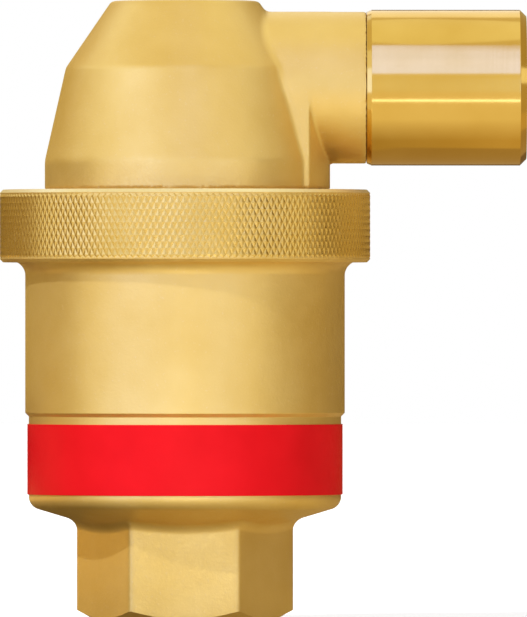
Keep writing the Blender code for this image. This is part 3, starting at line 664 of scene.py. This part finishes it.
def coverBlank():  # rough solids remeshed into one skin, then moved on to the blended surface
    c = cover
    face = collarTop / mm
    foot = face + c["foot"]
    shoulder = face + c["rimRise"] + c["coneRise"]
    outline = [(0, crownTop / mm), (c["crown"], crownTop / mm), (c["cone"], shoulder),
               (c["rim"], face + c["rimRise"]), (c["rim"], foot), (0, foot)]
    rough = bmesh.new()
    rough.from_mesh(solidSpin("rough", outline, c["roughAround"]))
    outline = [(0, c["branchEnd"]), (c["branch"], c["branchEnd"]), (c["branch"], 0), (0, 0)]
    pipe = solidSpin("pipe", outline, c["pipeAround"])
    pipe.transform(turnToOutlet(mm))
    outline = [(0, outletZ / mm), (c["web"], outletZ / mm), (c["web"], foot), (0, foot)]
    slabRound = solidSpin("slabRound", outline, c["roughAround"])
    cube = bmesh.new()
    bmesh.ops.create_cube(cube, size=2.0)
    bmesh.ops.scale(cube, vec=(c["web"], c["branch"], c["slabHalf"]), verts=cube.verts)
    bmesh.ops.translate(cube, vec=(c["web"], 0, foot), verts=cube.verts)
    cubeMesh = bpy.data.meshes.new("slabCube")
    cube.to_mesh(cubeMesh)
    cube.free()
    slab = combined(slabRound, [("INTERSECT", cubeMesh)])
    for part in (pipe, slab):
        rough.from_mesh(part)
    joined = bpy.data.meshes.new("coverBlank")
    rough.to_mesh(joined)
    rough.free()
    holder = holderOf(joined)
    remesh = holder.modifiers.new("remesh", "REMESH")
    remesh.mode = "VOXEL"
    remesh.voxel_size = c["voxel"]
    made = evaluated(holder)
    bpy.data.objects.remove(holder, do_unlink=True)
    points = np.empty(len(made.vertices) * 3)
    made.vertices.foreach_get("co", points)
    points = onField(points.reshape(-1, 3))
    made.vertices.foreach_set("co", points.ravel())
    made.update()
    return made


def coverTools():  # outlines of what is joined to the blank and cut from it
    c, k, g = cover, skirt, spigot
    face = collarTop / mm
    low = skirtLow / mm
    crown = crownTop / mm - c["wall"]
    shoulder = face + c["rimRise"] + c["coneRise"]
    inside = c["rim"] - c["wall"]
    grooveLow = low + k["grooveRise"]
    grooveTop = grooveLow + k["grooveHeight"]
    lipTop = grooveTop + k["lipHeight"]
    threadTop = face - k["tuck"]
    root = c["branchEnd"] - g["root"]
    past = g["end"] + g["past"]
    return {
        "foot": [(0, face + k["reach"]), (k["neck"], face + k["reach"]), (k["neck"], threadTop),
                 (k["core"], threadTop), (k["core"], lipTop), (k["lip"], lipTop), (k["lip"], grooveTop),
                 (k["groove"], grooveTop), (k["groove"], grooveLow), (k["lip"], grooveLow),
                 (k["lip"], low + k["lipEdge"]), (k["lip"] - k["lipEdge"], low), (0, low)],
        "nose": [(0, g["end"]), (g["radius"] - g["edge"], g["end"]), (g["radius"], g["end"] - g["edge"]),
                 (g["radius"], root), (0, root)],
        "hollow": [(0, crown), (c["crown"] - c["crownInset"] * c["wall"], crown),
                   (c["cone"] - c["wall"], shoulder - c["coneDrop"] * c["wall"]),
                   (inside, face + c["rimRise"]), (inside, low - c["wall"]), (0, low - c["wall"])],
        "seat": [(0, g["spotFace"]), (g["spotRadius"], g["spotFace"]), (g["spotRadius"], 0), (0, 0)],
        "wayOut": [(0, past), (g["bore"], past), (g["bore"], g["bulkhead"]), (g["nozzleHole"], g["bulkhead"]),
                   (g["nozzleHole"], g["holeStart"]), (0, g["holeStart"])]}


def buildCover():
    tools = {key: solidSpin(key, outline, cover["cutAround"]) for key, outline in coverTools().items()}
    for key in ("nose", "seat", "wayOut"):
        tools[key].transform(turnToOutlet(mm))
    made = combined(coverBlank(), [("UNION", tools["foot"]), ("UNION", tools["nose"]),
                                   ("DIFFERENCE", tools["hollow"]), ("DIFFERENCE", tools["seat"]),
                                   ("DIFFERENCE", tools["wayOut"])])
    made.transform(Matrix.Scale(mm, 4))
    makePiece("coverShell", smoothMesh(made, cover["sharpDeg"]), "cover", "forged_brass", brass, "cap")

    t = coverThread
    start = collarTop / mm - skirt["tuck"] - t["drop"] - t["pitch"] * t["turns"]
    place = Matrix.Translation((0, 0, start * mm))
    buildThread("coverThread", t, skirt["core"], place, "cover", "forged_brass")


buildCover()
print("cover made")

# polished outlet sleeve and its thread
sleeve = {"backRise": 0.28, "backChamfer": 0.66, "endChamfer": 0.9, "bore": 8.6, "web": 36.9, "webEnd": 38.9,
          "hole": 6.2, "thread": 8.15, "mouth": 0.55, "edge": 0.10, "around": 240}
outletThread = {"pitch": 1.337, "turns": 5.0, "ridge": 0.58, "start": 0.3, "sink": 0.05}


def buildSleeve():
    s = sleeve
    radius = couplingRadius / mm
    low, end = couplingLow[0] / mm, couplingHigh[0] / mm
    outline = [(radius - s["backRise"], low), (radius, low + s["backChamfer"]),
               (radius, end - s["endChamfer"]), (radius - s["endChamfer"], end),
               (s["thread"] + s["mouth"], end), (s["thread"], end - s["mouth"]), (s["thread"], s["webEnd"]),
               (s["hole"], s["webEnd"]), (s["hole"], s["web"]), (s["bore"], s["web"]), (s["bore"], low)]
    outline = [(r * mm, x * mm) for r, x in softened(outline, s["edge"])]
    mesh = spunMesh("outletSleeve", outline, s["around"])
    mesh.transform(turnToOutlet(1))
    makePiece("outletSleeve", smoothMesh(mesh), "cover", "turned_brass", polished, "outlet_coupling")

    t = outletThread
    place = turnToOutlet(1) @ Matrix.Translation((0, 0, (s["webEnd"] + t["start"]) * mm))
    buildThread("outletThread", t, s["thread"] - t["sink"], place, "cover", "turned_brass")


buildSleeve()
print("outlet sleeve made")

# inner pieces keep their solids and get their finishes
finishes = {"cap_o_ring": rubber, "valve_pad": rubber, "outlet_gasket": fibre, "nozzle_washer": fibre,
            "lever": steel, "lever_bracket": steel, "pivot_pin": steel, "pivot_clip": steel,
            "link_pin": steel, "link_clip": steel, "stem_washer": steel, "valve_nozzle": smallBrass,
            "pad_stud": smallBrass, "float_stem": smallBrass, "stem_nut": smallBrass,
            "float_shell": plastic, "float_base": plastic}
for node, look in finishes.items():
    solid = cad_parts[node]
    solid.data.materials.clear()
    solid.data.materials.append(look)
print("inner pieces finished")

# camera, floor, light
shot = {"lens": 1000, "sensor": 36, "frameHigh": 84.96, "aimX": 10.81, "aimZ": 42.96}
studio = {"floor": (0.84, 0.84, 0.84), "floorSize": 8, "floorDrop": 0.0002, "floorCloud": 40,
          "floorDim": 0.99, "floorRough": 0.9, "floorLift": 0.68, "ambient": 0.30,
          "sun": 2.5, "sunLeftDeg": 40, "sunUpDeg": 41, "sunSoftDeg": 1.2,
          "fill": 0.98, "fillLeftDeg": -36, "fillUpDeg": 8, "fillSoftDeg": 25}
# glowing sheet painted with the floor's light and shade: its painted lit tone in front of the vent and, from
# left to right, its painted shade behind it
floorGlow = {"size": 1.3, "drop": 0.0001, "front": (0.96, 0.845, 0.586), "fromFront": (-0.07, -0.012),
         "fromLeft": (-0.15, 0.05), "behind": [(0.0, (0.345, 0.233, 0.086)), (0.45, (0.345, 0.233, 0.086)),
                                               (0.64, (0.112, 0.073, 0.026)), (0.98, (0.65, 0.472, 0.19))]}
paper = {"steps": 24, "cloud": 6, "dim": 0.94}
glowOnly = {"Base Color": (0, 0, 0, 1), "Roughness": 1.0, "Specular IOR Level": 0.0,
            "Emission Strength": 1.0}
cards = [
    # name, start and end in degrees round from the camera, radius and height of its lower edge,
    # radius and height of its upper edge, colour it glows
    ("rightCard", 58, 178, (0.60, -0.10), (0.60, 0.27), (0.165, 0.092, 0.013)),
    ("leftCard", -178, -78, (0.60, -0.10), (0.60, 0.22), (0.50, 0.345, 0.07)),
    ("backRight", 118, 168, (0.60, 0.27), (0.60, 0.60), (0.22, 0.14, 0.03)),
    ("backLeft", -168, -128, (0.60, 0.22), (0.60, 0.50), (0.60, 0.42, 0.14)),
    ("hexFront", -16, 10, (0.10, 0.0005), (0.10, 0.014), (2.6, 2.6, 2.4)),
    ("hexLeft", -150, -96, (0.12, 0.001), (0.12, 0.016), (1.5, 1.0, 0.34)),
    ("keySoft", -60, -22, (0.62, -0.02), (0.62, 0.36), (1.30, 1.52, 2.9)),
    ("frontSoft", -22, 40, (0.62, -0.02), (0.62, 0.20), (0.96, 1.12, 2.0)),
    ("plainSlot", 0.5, 7, (0.57, -0.02), (0.57, 0.27), (0.95, 0.87, 0.58)),
    ("leftSky", -22, 0, (0.58, 0.28), (0.58, 0.84), (0.78, 0.68, 0.42)),
    ("skyStrip", 0, 7, (0.58, 0.285), (0.58, 0.84), (1.20, 1.46, 4.3)),
    ("skyTop", 0, 7, (0.58, 0.84), (0.37, 0.855), (1.20, 1.46, 4.3)),
    ("rightSky", 7, 58, (0.58, 0.22), (0.58, 0.84), (0.77, 0.68, 0.45)),
    ("lowStrip", -10, 24, (0.20, -0.0001), (0.20, 0.010), (2.6, 2.7, 3.5)),
    ("ceiling", -180, 180, (0.75, 0.86), (0.02, 0.92), (0.80, 0.69, 0.40)),
    ("sleeveSky", 35, 145, (0.020, 0.16), (0.056, 0.16), (1.04, 1.0, 0.76)),
    ("sleeveLow", 100, 172, (0.030, 0.003), (0.17, 0.003), (0.46, 0.33, 0.16)),
    ("sleeveFoot", 118, 178, (0.17, 0.003), (0.595, 0.003), (0.20, 0.13, 0.06)),
    ("sleeveEnd", 80, 140, (0.10, 0.052), (0.10, 0.077), (0.56, 0.42, 0.18)),
    ("sleeveGlint", 80, 104, (0.10, 0.077), (0.10, 0.090), (1.15, 1.10, 0.95)),
    ("sleeveHigh", 80, 150, (0.10, 0.090), (0.10, 0.16), (0.50, 0.38, 0.16)),
    ("collarLeft", -150, -70, (0.10, 0.047), (0.10, 0.064), (0.20, 0.12, 0.03)),
    ("bandLeft", -180, -104, (0.075, 0.016), (0.075, 0.029), (0.10, 0.01, 0.01)),
    ("backSky", 168, 192, (0.58, 0.28), (0.58, 0.84), (1.22, 1.18, 1.05)),
]


def buildCamera():
    data = bpy.data.cameras.new("camera")
    data.lens = shot["lens"]
    data.sensor_width = shot["sensor"]
    camera = bpy.data.objects.new("camera", data)
    bpy.context.scene.collection.objects.link(camera)
    away = shot["frameHigh"] * mm * shot["lens"] / shot["sensor"]
    camera.location = (shot["aimX"] * mm, -away, shot["aimZ"] * mm)
    camera.rotation_euler = (math.pi / 2, 0, 0)
    bpy.context.scene.camera = camera


def whiteForLooking(tree):  # one for camera, glossy and transmission rays, none for the rest
    path = tree.nodes.new("ShaderNodeLightPath").outputs
    either = treeMath(tree, "MAXIMUM", path["Is Camera Ray"], path["Is Glossy Ray"])
    return treeMath(tree, "MAXIMUM", either, path["Is Transmission Ray"])


def buildWorld():
    world = bpy.data.worlds.new("whiteRoom")
    bpy.context.scene.world = world
    world.use_nodes = True
    tree = world.node_tree
    ambient = tree.nodes["Background"]
    ambient.inputs["Color"].default_value = (1, 1, 1, 1)
    ambient.inputs["Strength"].default_value = studio["ambient"]
    white = addNode(tree, "ShaderNodeBackground", {"Color": (1, 1, 1, 1), "Strength": 1.0})
    mix = tree.nodes.new("ShaderNodeMixShader")
    tree.links.new(whiteForLooking(tree), mix.inputs[0])
    tree.links.new(ambient.outputs[0], mix.inputs[1])
    tree.links.new(white.outputs[0], mix.inputs[2])
    tree.links.new(mix.outputs[0], tree.nodes["World Output"].inputs["Surface"])


def floorLightAndShade(tree, coords):  # painted floor light and shade: pale like lit floor in front of the vent, warm and darker with painted shade behind it
    parts = tree.nodes.new("ShaderNodeSeparateXYZ")
    tree.links.new(coords, parts.inputs["Vector"])
    behind = addRange(tree, parts.outputs["Y"], 0.0, 1.0, *floorGlow["fromFront"])
    across = addRange(tree, parts.outputs["X"], 0.0, 1.0, *floorGlow["fromLeft"])
    return mixColours(tree, behind, floorGlow["front"], addRamp(tree, across, floorGlow["behind"]))


def nearlyPlain(tree, coords, colour, scale, dim):  # a colour with faint clouds
    clouds = addNoise(tree, coords, scale, 2.0)
    return addRamp(tree, clouds, [(0.3, tuple(v * dim for v in colour)), (0.7, colour)])


def flatSheet(name, size, height, material):
    bpy.ops.mesh.primitive_plane_add(size=size)
    sheet = bpy.context.object
    sheet.name = name
    sheet.location.z = height
    sheet.data.materials.append(material)
    return sheet


def onlyReflected(thing):
    thing.visible_camera = False
    thing.visible_diffuse = False
    thing.visible_shadow = False


def buildFloor():
    matt = {"Roughness": studio["floorRough"], "Specular IOR Level": 0.0, "Emission Color": (1, 1, 1, 1)}
    made, tree, shader, coords = startMaterial("paleFloor", matt)
    tone = nearlyPlain(tree, coords, studio["floor"], studio["floorCloud"], studio["floorDim"])
    looked = whiteForLooking(tree)
    # diffuse bounce sees the floor in the painted light and shade tones, camera rays in its pale tone
    tone = mixColours(tree, looked, floorLightAndShade(tree, coords), tone)
    tree.links.new(tone, shader.inputs["Base Color"])
    lift = treeMath(tree, "MULTIPLY", looked, studio["floorLift"])
    tree.links.new(lift, shader.inputs["Emission Strength"])
    flatSheet("floor", studio["floorSize"], -studio["floorDrop"], made)


def buildFloorGlow():  # lies under the vent, glows with the painted light and shade of the floor, and only reflections see it
    made, tree, shader, coords = startMaterial("paintedFloorLight", glowOnly)
    tree.links.new(floorLightAndShade(tree, coords), shader.inputs["Emission Color"])
    onlyReflected(flatSheet("floorGlow", floorGlow["size"], -floorGlow["drop"], made))


def addSun(key):  # a far lamp for the matt share of the light, unseen in reflections
    data = bpy.data.lights.new(key + "Lamp", "SUN")
    data.energy = studio[key]
    data.angle = math.radians(studio[key + "SoftDeg"])
    lamp = bpy.data.objects.new(key + "Lamp", data)
    lamp.visible_glossy = False
    bpy.context.scene.collection.objects.link(lamp)
    left, up = math.radians(studio[key + "LeftDeg"]), math.radians(studio[key + "UpDeg"])
    towards = Vector((-math.sin(left) * math.cos(up), -math.cos(left) * math.cos(up), math.sin(up)))
    lamp.location = towards
    lamp.rotation_euler = (-towards).to_track_quat("-Z", "Y").to_euler()


def addCard(name, startDeg, endDeg, low, high, colour):  # a panel that only reflections see
    mesh = bpy.data.meshes.new(name)
    shape = bmesh.new()
    rows = []
    for i in range(paper["steps"] + 1):
        turn = math.radians(startDeg + (endDeg - startDeg) * i / paper["steps"])
        rows.append([shape.verts.new((radius * math.sin(turn), -radius * math.cos(turn), height))
                     for radius, height in (low, high)])
    for a, b in zip(rows, rows[1:]):
        shape.faces.new((a[0], b[0], b[1], a[1]))
    shape.to_mesh(mesh)
    shape.free()
    card = holderOf(mesh, name)
    made, tree, shader, coords = startMaterial(name + "Paper", glowOnly)
    tone = nearlyPlain(tree, coords, colour, paper["cloud"], paper["dim"])
    tree.links.new(tone, shader.inputs["Emission Color"])
    mesh.materials.append(made)
    onlyReflected(card)


buildCamera()
buildWorld()
buildFloor()
buildFloorGlow()
addSun("sun")
addSun("fill")
for card in cards:
    addCard(*card)
bpy.context.scene.view_settings.view_transform = "Standard"
print("camera and light set")
